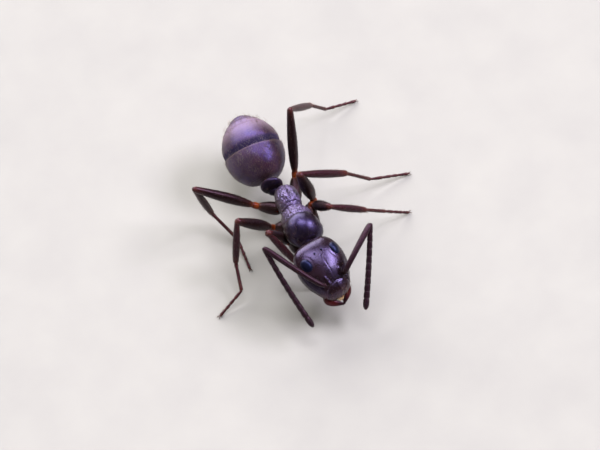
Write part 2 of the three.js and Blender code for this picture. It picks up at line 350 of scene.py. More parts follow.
# sizes and distances in mm
shells = {
    "head": {"roughness": 0.27, "tint": "#b09ae6", "shine": 0.5, "wax": 0.15, "dark": "#110807",
             "light": "#20100e", "edge": "#3b2219", "deep": "#4c0f0c", "patch": 0.5, "cell": 0.022,
             "cellDepth": 0.16, "dent": 0.16, "dentDepth": 0.1},
    # the trunk plates' edge tone below is a painted olive reflection on their flanks
    "pronotum": {"roughness": 0.3, "tint": "#a893f6", "shine": 0.5, "wax": 0.15, "dark": "#0e080b",
                 "light": "#190f12", "edge": "#33281a", "patch": 0.5, "cell": 0.02, "cellDepth": 0.14,
                 "dent": 0.14, "dentDepth": 0.12},
    # the wrinkled plates' mottle up to lilac light paints in highlights on their rough surface
    "wrinkled": {"roughness": 0.3, "tint": "#c4b2ff", "shine": 1.0, "wax": 0.15, "dark": "#140d14",
                 "light": "#5e4e66", "edge": "#3a2e1a", "patch": 0.09, "cell": 0.05, "cellDepth": 1.0,
                 "dent": 0.08, "dentDepth": 0.9},
    "petiole": {"roughness": 0.38, "tint": "#b09af4", "shine": 0.35, "wax": 0.05, "dark": "#0c0608",
                "light": "#170e10", "edge": "#2a181e", "patch": 0.3, "cell": 0.022, "cellDepth": 0.25,
                "dent": 0.1, "dentDepth": 0.15},
}
shells = {part: chitin("chitin" + part.capitalize(), look) for part, look in shells.items()}


# Thin hind body plates: silky, for they carry fine cross lines about 0.02 mm apart, matt where the
# plate before rubs on them and darker there with painted shade, and paler where down lies thick,
# which also paints in the down's sheen.
def silk(name, look):
    material, tree, shader, place = newMaterial(name, {
        "IOR": 1.55, "Specular Tint": colour(look["tint"]), "Specular IOR Level": look["shine"],
        "Coat Weight": 0.05, "Coat Roughness": 0.3})
    body = stops(tree, clouds(tree, place, 0.45, 5.0, 0.65),
                 [(0.3, look["dark"]), (0.5, look["middle"]), (0.72, look["light"])])
    specks = clouds(tree, place, 0.03)
    body = flecked(tree, body, specks, 0.5)
    # laid over the mottle: painted shade where a plate tucks under the one before, its paler rear rim, and
    # pale down with its sheen painted in
    for note in ("deep", "pale", "bloom"):
        body = tinted(tree, body, look[note], marked(tree, note))
    dull = put(tree, "MapRange", {"To Min": look["roughness"], "To Max": look["mattRoughness"]},
               {"Value": marked(tree, "deep")}).outputs["Result"]
    along = reckon(tree, "MULTIPLY_ADD", clouds(tree, place, 0.12), 0.03, marked(tree, "along"))
    crests = reckon(tree, "SINE", reckon(tree, "MULTIPLY", along, 2 * math.pi / look["lineGap"]))
    lines = relief(tree, crests, look["lineDepth"], look["lineGap"] * 0.35)
    wire(tree, shader, {"Base Color": body, "Roughness": dull,
                        "Normal": relief(tree, specks, 0.25, 0.012, lines)})
    return material


# its deepest tone is painted shade, its lilac-grey tone pale down with a painted sheen
gasterShell = silk("chitinGaster", {
    "roughness": 0.35, "mattRoughness": 0.9, "tint": "#a798ff", "shine": 0.85, "dark": "#20100f",
    "middle": "#301a19", "light": "#422623", "deep": "#150d0b", "pale": "#5a4832", "bloom": "#967f89",
    "lineGap": 0.026, "lineDepth": 0.25})   # lines drawn a little coarse


# Limb cuticle: thinner and redder than the body's, amber where it is thinnest, at both ends.
def limbHorn(name, roughness, wander, colours):
    material, tree, shader, place = newMaterial(name, {
        "IOR": 1.55, "Roughness": roughness, "Specular Tint": colour("#d295b4"), "Specular IOR Level": 0.3,
        "Subsurface Weight": 0.08, "Subsurface Radius": (1.0, 0.35, 0.2), "Subsurface Scale": 0.05 * mm,
        "Coat Weight": 0.06, "Coat Roughness": 0.22})
    along = reckon(tree, "MULTIPLY_ADD", clouds(tree, place, 0.12, 3.0), wander, marked(tree, "along"))
    body = stops(tree, reckon(tree, "SUBTRACT", along, wander / 2), colours)
    wire(tree, shader, {"Base Color": flecked(tree, body, clouds(tree, place, 0.035), 0.45),
                        "Normal": relief(tree, domes(tree, place, 0.02, 0.4), 0.35, 0.008)})
    return material


# roughness, how far the colours wander along the limb, and the colours from one end to the other
horns = {
    "coxa": (0.38, 0.1, [(0.0, "#241a10"), (0.35, "#180f0a"), (0.8, "#1c100a"), (1.0, "#582a0e")]),
    "trochanter": (0.36, 0.3, [(0.0, "#4c210d"), (0.3, "#7a3710"), (0.6, "#70320f"), (1.0, "#3c190b")]),
    "femur": (0.36, 0.1, [(0.0, "#54260e"), (0.07, "#22100a"), (0.3, "#130a07"), (0.8, "#150a08"),
                          (0.95, "#2a120e"), (1.0, "#40201a")]),
    "tibia": (0.38, 0.1, [(0.0, "#4a2114"), (0.06, "#2e0f0e"), (0.4, "#260b10"), (0.8, "#280b0f"),
                          (1.0, "#4c2012")]),
    "tarsus": (0.45, 0.1, [(0.0, "#3a1610"), (0.5, "#301412"), (1.0, "#46241a")]),
    "feeler": (0.42, 0.1, [(0.0, "#1e0e11"), (0.4, "#190c11"), (1.0, "#1e1015")]),
    "jaw": (0.3, 0.1, [(0.0, "#2e0e0b"), (0.4, "#450f0d"), (0.75, "#2c0a09"), (1.0, "#140505")]),
}
horns = {part: limbHorn("horn" + part.capitalize(), *look) for part, look in horns.items()}


# A compound eye: each lens is a smooth dome over dark pigment.
def eyeLens(name):
    material, tree, shader, place = newMaterial(name, {
        "IOR": 1.5, "Roughness": 0.38, "Specular Tint": colour("#8f9cff"), "Specular IOR Level": 0.3,
        "Coat Weight": 0.06, "Coat Roughness": 0.3})
    pigment = stops(tree, clouds(tree, place, 0.15), [(0.3, "#07070e"), (0.7, "#0c0e1f")])
    wire(tree, shader, {"Base Color": pigment,
                        "Normal": relief(tree, clouds(tree, place, 0.02, 1.0), 0.1, 0.004)})
    return material


# Soft skin of the lip and palps: matt, slightly see-through, folded finely.
def softSkin(name, dark, light):
    material, tree, shader, place = newMaterial(name, {
        "IOR": 1.45, "Roughness": 0.55, "Subsurface Weight": 0.3, "Subsurface Radius": (1.0, 0.6, 0.35),
        "Subsurface Scale": 0.05 * mm})
    folds = clouds(tree, place, 0.05, 4.0)
    wire(tree, shader, {"Base Color": stops(tree, folds, [(0.35, dark), (0.65, light)]),
                        "Normal": relief(tree, folds, 0.4, 0.01)})
    return material


# Hair: solid chitin bristles, smooth, pale at the tip where they thin out.
def bristle(name, root, tip, roughness):
    material, tree, shader, place = newMaterial(name, {
        "IOR": 1.55, "Roughness": roughness, "Subsurface Weight": 0.05, "Subsurface Scale": 0.01 * mm})
    wire(tree, shader, {"Base Color": stops(tree, clouds(tree, place, 0.1), [(0.3, root), (0.7, tip)]),
                        "Normal": relief(tree, clouds(tree, place, 0.008), 0.15, 0.002)})
    return material


eyeGlass = eyeLens("eyeLenses")
palpSkin, lipSkin = softSkin("skinPalp", "#6a4a2a", "#a8875a"), softSkin("skinLip", "#7a5a34", "#c9ad80")
paleHair = bristle("hairPale", "#4a3d38", "#75675e", 0.4)
amberHair = bristle("hairAmber", "#3c2718", "#6b4b2e", 0.4)
darkHair = bristle("hairDark", "#1f1413", "#3a2826", 0.45)
print("finishes ready")

head = {
    "rows": [[0.825, 0.14, 0.03, -0.02], [0.812, 0.3, 0.1, -0.08], [0.765, 0.43, 0.19, -0.15],
             [0.67, 0.53, 0.27, -0.21], [0.53, 0.605, 0.335, -0.265], [0.35, 0.645, 0.375, -0.3],
             [0.15, 0.66, 0.39, -0.32], [-0.04, 0.63, 0.39, -0.32], [-0.22, 0.57, 0.37, -0.3],
             [-0.38, 0.49, 0.345, -0.27], [-0.52, 0.41, 0.3, -0.235], [-0.63, 0.33, 0.235, -0.19],
             [-0.70, 0.24, 0.15, -0.14], [-0.73, 0.12, 0.07, -0.09]],
    "squareness": 2.3,
    "eye": {"spot": (0.43, 0.35, 0.25), "size": (0.29, 0.38, 0.18), "turn": 36,
            "lensCut": 46, "lensDome": 0.005},   # per cent of an edge, and of the eye's size
    "socket": (0.325, -0.27, 0.34),
    "ocelli": [(0, 0.4), (0.105, 0.52), (-0.105, 0.52)],
}
headFrame = bodyFrame("head")


def socketOf(hand):
    x, y, z = head["socket"]
    return headFrame @ Vector((hand * x, y, z))


# swells an oval section towards a rounded box
def squareUp(piece, rows, power):
    spots = spotsOf(piece)
    table = np.array(sorted(rows))
    wide = np.interp(spots[:, 1], table[:, 0], table[:, 1])
    top = np.interp(spots[:, 1], table[:, 0], table[:, 2])
    low = np.interp(spots[:, 1], table[:, 0], table[:, 3])
    mid = (top + low) / 2
    c, s = np.abs(spots[:, 0] / wide), np.abs((spots[:, 2] - mid) / ((top - low) / 2))
    size = np.maximum(np.hypot(c, s), 1e-6)
    grow = 1 / ((c / size) ** power + (s / size) ** power) ** (1 / power)
    spots[:, 0] *= grow
    spots[:, 2] = mid + (spots[:, 2] - mid) * grow
    putSpots(piece, spots)


capsule = drawOut("headCapsule", fromRows(head["rows"]), 40, 3)
squareUp(capsule, head["rows"], head["squareness"])
# shield over the mouth with its keel, and the seam round it
press(capsule, (0, -0.52, 0.3), (0.27, 0.23, 0.3), 0.03)
crease(capsule, [(-0.38, -0.62), (-0.31, -0.45), (-0.2, -0.36), (-0.09, -0.315), (0, -0.3),
                 (0.09, -0.315), (0.2, -0.36), (0.31, -0.45), (0.38, -0.62)], 0.02, -0.015, 0.0)
crease(capsule, [(0, -0.36), (0, -0.7)], 0.03, 0.01, 0.0)
# brow ridges beside the feeler sockets, the sockets and the fine midline
for hand in (1, -1):
    crease(capsule, [(hand * 0.18, -0.34), (hand * 0.205, -0.24), (hand * 0.235, -0.1)], 0.04, 0.015, 0.1)
    press(capsule, (hand * 0.325, -0.27, 0.32), (0.09, 0.09, 0.12), -0.045)
    crease(capsule, [(hand * 0.53, -0.02), (hand * 0.46, -0.3), (hand * 0.42, -0.52)], 0.05, -0.012, -0.1)
crease(capsule, [(0, -0.25), (0, 0.3)], 0.014, -0.003, 0.1)
crease(capsule, [(-0.06, -0.29), (0, -0.21), (0.06, -0.29)], 0.016, -0.006, 0.1)
press(capsule, (0, 0.06, 0.4), (0.42, 0.4, 0.3), 0.018)
for x, y in head["ocelli"]:
    press(capsule, (x, y, 0.38), (0.05, 0.05, 0.12), -0.012)
# a faint groove round each eye
spots = spotsOf(capsule)
x, y, z = head["eye"]["spot"]
for hand in (1, -1):
    away = np.linalg.norm((spots - np.array((hand * x, y, z))) / (0.2, 0.25, 0.2), axis=1)
    spots = spots + normalsOf(capsule) * (-0.003 * np.exp(-((away - 0.95) / 0.12) ** 2))[:, None]
putSpots(capsule, spots)
# paler to the front and below, redder at the jaw corners
pale = ease((-0.42 - spots[:, 1]) / 0.3) * 0.8 + 0.35 * ease((0.1 - spots[:, 2]) / 0.3)
mark(capsule, "pale", np.clip(pale, 0, 1))
corner = np.linalg.norm((np.abs(spots) - (0.37, 0.46, 0.02)) / (0.16, 0.2, 0.2), axis=1)
mark(capsule, "deep", ease(1.2 - corner) * (spots[:, 1] < 0) * 0.85)
capsule.data.transform(headFrame)
keepSkin(capsule, "head")
done(capsule, shells["head"], "shell", "head")

# compound eye: an icosphere whose corners are cut to six-sided lenses, each drawn up to a dome
choose()
bpy.ops.mesh.primitive_ico_sphere_add(subdivisions=5, radius=0.5)
lens = bpy.context.object
editAll()
bpy.ops.mesh.bevel(offset_type="PERCENT", offset_pct=head["eye"]["lensCut"], affect="VERTICES", segments=1)
bpy.ops.mesh.select_all(action="DESELECT")
bpy.ops.mesh.select_face_by_sides(number=4, type="GREATER", extend=False)
bpy.ops.mesh.poke(offset=head["eye"]["lensDome"], center_mode="MEDIAN")
bpy.ops.object.mode_set(mode="OBJECT")
for side, hand in (("Left", 1), ("Right", -1)):
    lean = Matrix.Rotation(hand * math.radians(head["eye"]["turn"]), 4, "Y")
    size = Matrix.Diagonal((*head["eye"]["size"], 1))
    turn = headFrame @ Matrix.Translation((hand * x, y, z)) @ lean @ size
    done(copyOf(lens, "eyeLenses" + side, turn), eyeGlass, "eye", "eye_" + side.lower())
discard(lens)

# three simple eyes on the crown, each a bead sunk in a dimple
beads = []
for x, y in head["ocelli"]:
    z = 0.366 - 0.06 * y   # the crown falls a little towards the back
    choose()
    bpy.ops.mesh.primitive_uv_sphere_add(segments=16, ring_count=10, radius=0.024, location=(x, y, z))
    bpy.ops.object.transform_apply(location=True)
    editAll()
    bpy.ops.transform.resize(value=(1, 1, 0.75), center_override=(x, y, z))
    bpy.ops.mesh.bisect(plane_co=(x, y, z - 0.03), plane_no=(0, 0, 1), use_fill=True, clear_inner=True)
    bpy.ops.object.mode_set(mode="OBJECT")
    beads.append(bpy.context.object)
ocelli = join("ocelli", beads)
ocelli.data.transform(headFrame)
done(ocelli, eyeGlass, "eye")

# jaw: a curved blade, thick at its hinge, with teeth along the biting edge
jaw = {
    "hinge": (0.27, -0.46, -0.07), "teeth": 7, "length": 0.95, "turn": (-3, 12),
    "blade": [(0.0, 0.07, 0.095), (0.06, 0.095, 0.11, 0.015, 0.0), (0.14, 0.11, 0.11, 0.025, 0.0),
              (0.22, 0.125, 0.1, 0.01, 0.0), (0.3, 0.135, 0.08, -0.04, -0.005),
              (0.37, 0.125, 0.062, -0.105, -0.01), (0.43, 0.09, 0.046, -0.175, -0.02),
              (0.47, 0.048, 0.032, -0.235, -0.03), (0.495, 0.012, 0.012, -0.275, -0.035)],
    "tooth": [(0, 0.02, 0.016), (0.018, 0.014, 0.012), (0.034, 0.004)],
    "lip": [(0, 0.1, 0.02), (0.04, 0.11, 0.03), (0.09, 0.095, 0.026, 0, -0.015),
            (0.125, 0.06, 0.018, 0, -0.035), (0.14, 0.025, 0.01, 0, -0.045)],
    "palpLink": [(0, 0.5), (0.08, 0.8), (0.5, 1), (0.9, 0.85), (1, 0.5)],
    "palps": [[(0.16, -0.42, -0.2), (0.19, -0.5, -0.29), (0.2, -0.6, -0.34), (0.18, -0.7, -0.35),
               (0.14, -0.79, -0.32), (0.11, -0.86, -0.26)],
              [(0.07, -0.5, -0.18), (0.08, -0.58, -0.26), (0.07, -0.68, -0.29), (0.05, -0.76, -0.27)]],
}
jawRaw = drawOut("jawRaw", jaw["blade"], 20, 2)
press(jawRaw, (0.03, 0.18, 0.12), (0.12, 0.2, 0.12), 0.015)
teeth = []
tooth = drawOut("tooth", jaw["tooth"], 8, 1)
for i in range(jaw["teeth"]):
    t = i / (jaw["teeth"] - 1)
    root = Vector((-0.115 - 0.155 * t, 0.25 + 0.215 * t, -0.005 - 0.03 * t))
    aim = Vector((-1, 0.25 + 0.7 * t, -0.05))
    size = 0.75 + 0.7 * t ** 3
    teeth.append(copyOf(tooth, "tooth", boneFrame(root, root + aim * 0.01, stretch=False, girth=size)
                        @ Matrix.Scale(size, 4, (0, 1, 0))))
discard(tooth)
jawRaw = join("jawRaw", [jawRaw, *teeth])
values = spotsOf(jawRaw)
mark(jawRaw, "along", np.clip(values[:, 1] / 0.5 * 0.75 + ease((-0.08 - values[:, 0]) / 0.16) * 0.5, 0, 1))
for side, hand in (("Left", 1), ("Right", -1)):
    x, y, z = jaw["hinge"]
    # points forward and a little inwards, with the blade's face turned up
    turn = Matrix.Translation((hand * x, y, z)) @ Matrix.Diagonal((hand, 1, 1, 1))
    turn = turn @ Matrix.Rotation(math.pi, 4, "Z") @ Matrix.Diagonal((-1, 1, 1, 1)) \
        @ Matrix.Rotation(math.radians(jaw["turn"][0]), 4, "X") \
        @ Matrix.Rotation(math.radians(jaw["turn"][1]), 4, "Y") \
        @ Matrix.Diagonal((1, jaw["length"], 1, 1))
    done(copyOf(jawRaw, "jaw" + side, headFrame @ turn), horns["jaw"], "jaw", "mandible_" + side.lower())
discard(jawRaw)

# upper lip and the palps that hang below the mouth
lip = drawOut("upperLip", jaw["lip"], 16, 2)
press(lip, (0, 0.14, 0), (0.04, 0.04, 0.1), -0.015)
lip.data.transform(headFrame @ Matrix.Translation((0, -0.67, 0.0)) @ Matrix.Rotation(math.pi, 4, "Z"))
done(lip, lipSkin, "jaw")
palpLink = drawOut("palpLink", jaw["palpLink"], 10, 1)
links = []
for points in jaw["palps"]:
    for hand in (1, -1):
        line = [headFrame @ Vector((hand * x, y, z)) for x, y, z in points]
        for i, (a, b) in enumerate(zip(line[:-1], line[1:])):
            links.append(copyOf(palpLink, "palp", boneFrame(a, b, girth=0.03 - 0.0025 * i)))
discard(palpLink)
done(join("palps", links), palpSkin, "jaw")
print("head made")

trunk = {
    "pronotum": [[-0.15, 0.17, 0.30, -0.22], [-0.17, 0.32, 0.41, -0.33], [-0.24, 0.4, 0.46, -0.37],
                 [-0.34, 0.445, 0.485, -0.365], [-0.46, 0.47, 0.48, -0.33], [-0.58, 0.485, 0.455, -0.29],
                 [-0.7, 0.46, 0.395, -0.25], [-0.81, 0.39, 0.3, -0.21], [-0.9, 0.285, 0.19, -0.17],
                 [-0.97, 0.17, 0.095, -0.13], [-1.02, 0.1, 0.04, -0.09], [-1.04, 0.05, 0.0, -0.06]],
    "mesothorax": [[0.25, 0.13, 0.05, -0.34], [0.235, 0.23, 0.16, -0.41], [0.17, 0.3, 0.25, -0.435],
                   [0.06, 0.345, 0.335, -0.435], [-0.06, 0.37, 0.395, -0.425], [-0.18, 0.38, 0.425, -0.41],
                   [-0.28, 0.37, 0.425, -0.385], [-0.38, 0.28, 0.36, -0.34], [-0.42, 0.12, 0.22, -0.28]],
    "propodeum": [[0.99, 0.05, -0.09, -0.19], [0.97, 0.15, 0.02, -0.27], [0.91, 0.225, 0.13, -0.35],
                  [0.8, 0.27, 0.215, -0.395], [0.66, 0.292, 0.26, -0.42], [0.52, 0.298, 0.272, -0.43],
                  [0.4, 0.29, 0.262, -0.435], [0.31, 0.28, 0.235, -0.435], [0.24, 0.25, 0.185, -0.425],
                  [0.19, 0.15, 0.08, -0.36]],
}
bulges = {"pronotum": 1.88, "mesothorax": 2.25, "propodeum": 2.25}   # 2 is oval, more is boxy
# size and depth of the wrinkles, and how low on the flank they reach
wrinkles = {"mesothorax": (0.08, 0.012, -0.1), "propodeum": (0.1, 0.009, -0.2)}
trunkFrame = bodyFrame("trunk")
chance = Random(11)


# worm-like wrinkles pressed into a rough plate, deepest on its back
def wrinkle(piece, size, depth, floor):
    spots = spotsOf(piece)
    waves = np.zeros(len(spots))
    for i in range(7):
        a = chance.uniform(0, math.pi)
        lean = chance.uniform(-0.5, 0.5)
        push = np.array((math.cos(a), math.sin(a), lean)) * 2 * math.pi / (size * chance.uniform(0.7, 1.5))
        waves += np.sin(spots @ push + chance.uniform(0, 6.3) + 1.2 * np.sin(spots @ push[[1, 2, 0]] * 0.6))
    waves = np.abs(waves / 7) * 2 - 0.5
    fade = ease((spots[:, 2] - floor) / 0.2) * 0.7 + 0.3
    putSpots(piece, spots + normalsOf(piece) * (depth * waves * fade)[:, None])


plates = {}
for name, rows in trunk.items():
    plate = drawOut(name + "Plate", fromRows(rows), 32, 3)
    squareUp(plate, rows, bulges[name])
    plates[name] = plate
back = plates["pronotum"]
crease(back, [(-0.42, -0.8), (-0.2, -0.9), (0.2, -0.9), (0.42, -0.8)], 0.03, -0.015, -0.1)
for hand in (1, -1):
    press(back, (hand * 0.43, -0.5, 0.0), (0.12, 0.3, 0.25), 0.012)
crease(back, [(0.0, -0.2), (0.0, -0.32)], 0.1, -0.01, 0.2)
plate = plates["mesothorax"]
wrinkle(plate, *wrinkles["mesothorax"])
for hand in (1, -1):
    crease(plate, [(hand * 0.2, -0.35), (hand * 0.24, -0.1), (hand * 0.2, 0.2)], 0.02, -0.018, 0.0)
    press(plate, (hand * 0.12, 0.16, 0.3), (0.1, 0.06, 0.1), 0.02)
    press(plate, (hand * 0.33, -0.05, -0.15), (0.1, 0.25, 0.2), 0.02)
crease(plate, [(-0.3, 0.13), (0, 0.1), (0.3, 0.13)], 0.02, -0.022, 0.05)
plate = plates["propodeum"]
wrinkle(plate, *wrinkles["propodeum"])
crease(plate, [(-0.26, 0.3), (0.26, 0.3)], 0.022, -0.02, 0.0)
crease(plate, [(0, 0.34), (0, 0.8)], 0.05, -0.022, 0.1)
for hand in (1, -1):
    press(plate, (hand * 0.12, 0.48, 0.26), (0.13, 0.17, 0.12), 0.022)
    press(plate, (hand * 0.26, 0.56, 0.03), (0.05, 0.05, 0.07), 0.016)
    press(plate, (hand * 0.275, 0.56, 0.03), (0.022, 0.022, 0.03), -0.02)
    press(plate, (hand * 0.24, 0.62, -0.3), (0.1, 0.2, 0.15), 0.02)
for name, plate in plates.items():
    spots = spotsOf(plate)
    # the flanks below the back are browner, most of all on the right: a painted reflection of olive
    # surroundings
    mark(plate, "pale", np.clip(ease((0.12 - spots[:, 2] - 0.35 * spots[:, 0]) / 0.3), 0, 1) * 0.8)
    plate.data.transform(trunkFrame)
    keepSkin(plate, name)
    done(plate, shells["pronotum" if name == "pronotum" else "wrinkled"], "shell", name)

waist = {
    "scale": [(-0.1, 0.09, 0.1, 0, 0.1), (-0.085, 0.19, 0.19, 0, 0.11), (-0.05, 0.262, 0.26, 0, 0.12),
              (0, 0.29, 0.285, 0, 0.13), (0.05, 0.275, 0.27, 0, 0.13), (0.085, 0.21, 0.2, 0, 0.11),
              (0.1, 0.1, 0.1, 0, 0.08)],
    "stalk": [(-0.1, 0.07), (0, 0.1), (0.2, 0.105), (0.5, 0.11, 0.115), (0.8, 0.14, 0.15),
              (1, 0.15, 0.17), (1.1, 0.1, 0.12)],
}
waistFrame = bodyFrame("petiole")
blade = drawOut("waistScale", waist["scale"], 28, 2)
press(blade, (0, 0, 0.43), (0.09, 0.2, 0.08), -0.012)
blade.data.transform(waistFrame)
# the stalk reaches from the trunk and from the hind body to the foot of the scale
before, here, behind = (trunkFrame @ Vector((0, 0.86, -0.2)), waistFrame @ Vector((0, 0.0, -0.02)),
                        bodyFrame("gaster") @ Vector((0, -0.88, -0.08)))
stalk = drawOut("waistStalk", waist["stalk"], 20, 2)
stalks = [copyOf(stalk, "stalk", boneFrame(a, here)) for a in (before, behind)]
discard(stalk)
waistPiece = join("petioleScale", [blade, *stalks])
waistPiece.data.transform(waistFrame.inverted())
spots = spotsOf(waistPiece)
rim = np.hypot(spots[:, 0] / 0.27, (spots[:, 2] - 0.13) / 0.29)
mark(waistPiece, "pale", ease((rim - 0.86) / 0.14) * 0.6)
waistPiece.data.transform(waistFrame)
keepSkin(waistPiece, "petiole")
done(waistPiece, shells["petiole"], "shell", "petiole")

# the hind body is five plates, each tucked under the one before
gaster = {
    "outline": [[-0.94, 0.03, -0.02, -0.08], [-0.9, 0.26, 0.2, -0.24], [-0.74, 0.52, 0.46, -0.47],
                [-0.46, 0.7, 0.66, -0.66], [-0.12, 0.755, 0.71, -0.72], [0.22, 0.71, 0.66, -0.68],
                [0.54, 0.55, 0.49, -0.54], [0.78, 0.31, 0.25, -0.33], [0.9, 0.13, 0.07, -0.15],
                [0.93, 0.04, 0.0, -0.08]],
    "seams": [-0.94, -0.13, 0.54, 0.7, 0.82, 0.925],
    "steps": [0, 0.045, 0.014, 0.012, 0.012],    # how far each plate lies below the one before it
    "rises": [0, 0.1, 0.05, 0.04, 0.03],         # how far back it swells to the full outline
    "tuck": 0.16,                                # how much of it is hidden
    "lip": [(0.004, 0.006), (-0.012, 0.012), (-0.05, 0.0), (-0.2, -0.02)],   # rear edge, out and back
    "rims": [0.8, 0.06, 0.06, 0.06, 0.0],        # how pale its rear edge is
    # the dull strip at the front of each plate is also darkened there with painted shade
    "matt": [(0, 0), (0.13, 0.12), (0.03, 0.06), (0.03, 0.06), (0.03, 0.06)],   # dull strip and its fade
}
gasterFrame = bodyFrame("gaster")


# a smooth curve through one column of the outline
def outlineAt(y, column):
    keys, values = np.array(gaster["outline"])[:, (0, column)].T
    i = int(np.clip(np.searchsorted(keys, y) - 1, 0, len(keys) - 2))
    t = (y - keys[i]) / (keys[i + 1] - keys[i])
    slopes = np.gradient(values, keys)
    gap = keys[i + 1] - keys[i]
    a, b = values[i], values[i + 1]
    return ((2 * t ** 3 - 3 * t ** 2 + 1) * a + (t ** 3 - 2 * t ** 2 + t) * gap * slopes[i]
            + (-2 * t ** 3 + 3 * t ** 2) * b + (t ** 3 - t ** 2) * gap * slopes[i + 1])


for i in range(5):
    front, rear = gaster["seams"][i], gaster["seams"][i + 1]
    first = i == 0
    start, count, crowd = (front, 12, 1.35) if first else (front - gaster["tuck"], 9, 1.0)
    rows = []
    for k in range(count):
        y = start + (rear - start) * (k / (count - 1)) ** crowd
        sink = gaster["steps"][i] * (1 - ease((y - front - gaster["rises"][i]) / 0.09))
        sink += (not first) * 0.02 * ease((front - y) / 0.05)
        rows.append([y, max(outlineAt(y, 1) - sink, 0.03), outlineAt(y, 2) - sink, outlineAt(y, 3) + sink])
    if i < 4:   # the rear edge turns over and back in, closing the plate
        wide, top, low = (outlineAt(rear, column) for column in (1, 2, 3))
        rows += [[rear + back, wide + out, top + out, low - out] for out, back in gaster["lip"]]
    plate = drawOut("gasterPlate%d" % (i + 1), fromRows(rows), 48, 2)
    x, y, z = spotsOf(plate).T
    dull, fade = gaster["matt"][i]
    # down lies thickest on the rear plates and on the right flank of the first, and the paler tone there also
    # paints in its sheen
    downSheen = 0.47 * ease((y - 0.17) / 0.36) * (1 - 0.75 * ease((y - 0.6) / 0.2)) * ease((z + 0.2) / 0.4)
    mark(plate, "along", y)
    # painted shade: darker where the plate lies tucked under the one before
    mark(plate, "deep", 0 * y if first else 1 - ease((y - front - dull) / fade))
    mark(plate, "pale", ease((y - rear + 0.03) / 0.02) * gaster["rims"][i])
    mark(plate, "bloom", 0.09 * ease((0.15 - x) / 0.7) if first else downSheen)
    plate.data.transform(gasterFrame)
    keepSkin(plate, "gaster%d" % (i + 1))
    done(plate, gasterShell, "gaster", "gaster_%d" % (i + 1))
print("trunk, waist and hind body made")

# each reach is (length, heading, rise): heading from +X towards +Y, rise above level
legs = {
    "left_front": {"hip": (0.06, -0.56, 0.88), "coxa": (0.83, 71, 12), "femur": (0.98, -70, 45.4),
                   "tibia": (1.16, -7, -40), "foot": (0.66, -3.5, -42), "toes": (0.79, -3.4), "stout": 1.0},
    "left_middle": {"hip": (0.06, 0.06, 0.78), "coxa": (0.57, 39, -3), "femur": (1.28, 141, 77),
                    "tibia": (1.51, -2, -37), "foot": (0.95, -3, -51), "toes": (1.01, -9), "stout": 1.15},
    "left_hind": {"hip": (0.12, 0.70, 0.76), "coxa": (0.59, 63, 6), "femur": (1.86, 64, 57),
                  "tibia": (1.60, 37, -53), "foot": (0.92, 21, -59), "toes": (0.85, 0), "stout": 1.0},
    "right_front": {"hip": (-0.46, -0.79, 1.04), "coxa": (0.44, 103, -25), "femur": (1.16, -178, 61),
                    "tibia": (1.19, -50, -57), "foot": (0.55, -63, -66), "toes": (0.63, -49), "stout": 1.05},
    "right_middle": {"hip": (-0.44, 0.04, 0.87), "coxa": (0.30, 146, -17), "femur": (1.36, 175, 47),
                     "tibia": (1.29, -132, -68), "foot": (0.71, -106, -23), "toes": (0.80, -162),
                     "stout": 1.05},
    "right_hind": {"hip": (-0.36, 0.60, 0.84), "coxa": (0.53, 141, -3), "femur": (1.86, 157, 37),
                   "tibia": (1.54, 2, -77), "foot": (0.92, -72, -15), "toes": (0.81, -96), "stout": 1.0},
}
leg = {
    "trochanterLength": 0.2,
    "toeHeight": 0.045,     # middle of the last foot joint over the floor
    "coxa": [(-0.12, 0.1), (0, 0.145, 0.15), (0.2, 0.165, 0.175), (0.5, 0.155, 0.165),
             (0.75, 0.125, 0.135), (0.93, 0.1, 0.105), (1.02, 0.065)],
    "trochanter": [(-0.25, 0.05), (-0.1, 0.075, 0.08), (0.2, 0.088, 0.095), (0.6, 0.085, 0.092),
                   (0.95, 0.07, 0.075), (1.1, 0.045, 0.05)],
    "femur": [(-0.02, 0.05, 0.055), (0, 0.076, 0.082), (0.05, 0.092, 0.1), (0.18, 0.117, 0.13, 0, 0.004),
              (0.36, 0.13, 0.15, 0, 0.008), (0.55, 0.124, 0.142, 0, 0.008), (0.75, 0.106, 0.118, 0, 0.004),
              (0.9, 0.088, 0.098), (0.97, 0.082, 0.09), (1.01, 0.066, 0.07, 0, -0.004),
              (1.03, 0.034, 0.038, 0, -0.006)],
    "tibia": [(-0.02, 0.036, 0.038), (0, 0.053, 0.055), (0.03, 0.06, 0.062), (0.08, 0.06, 0.063),
              (0.2, 0.073, 0.078), (0.42, 0.088, 0.095), (0.62, 0.09, 0.097), (0.82, 0.081, 0.086),
              (0.94, 0.072, 0.075), (0.99, 0.066, 0.069), (1.01, 0.04, 0.042)],
    "foot": [(-0.02, 0.026), (0.01, 0.04), (0.1, 0.042), (0.5, 0.041, 0.042),
             (0.9, 0.046), (0.98, 0.048), (1, 0.03)],
    "toe": [(-0.04, 0.02), (0.03, 0.03), (0.3, 0.034), (0.75, 0.042, 0.04),
            (0.95, 0.043, 0.041), (1, 0.026)],
    "toeShares": [0.32, 0.22, 0.17, 0.29],
    "toeTaper": 0.016,      # how much thinner each toe joint is than the one before it
    "claw": [(0, 0.013, 0.016), (0.03, 0.012, 0.015, 0, 0.006), (0.06, 0.0095, 0.012, 0, 0.004),
             (0.085, 0.007, 0.008, 0, -0.006), (0.1, 0.002, 0.003, 0, -0.024)],
    "clawSpread": 24,       # degrees to either side
    "spur": [(0, 0.011), (0.04, 0.009, 0.009, 0, 0.002), (0.1, 0.006, 0.006, 0, 0.004),
             (0.15, 0.0015, 0.0015, 0, 0.002)],
}


def camelOf(name):
    return "".join(word.capitalize() for word in name.split("_"))


def reach(start, length, heading, rise):
    h, r = math.radians(heading), math.radians(rise)
    return start + Vector((math.cos(h) * math.cos(r), math.sin(h) * math.cos(r), math.sin(r))) * length


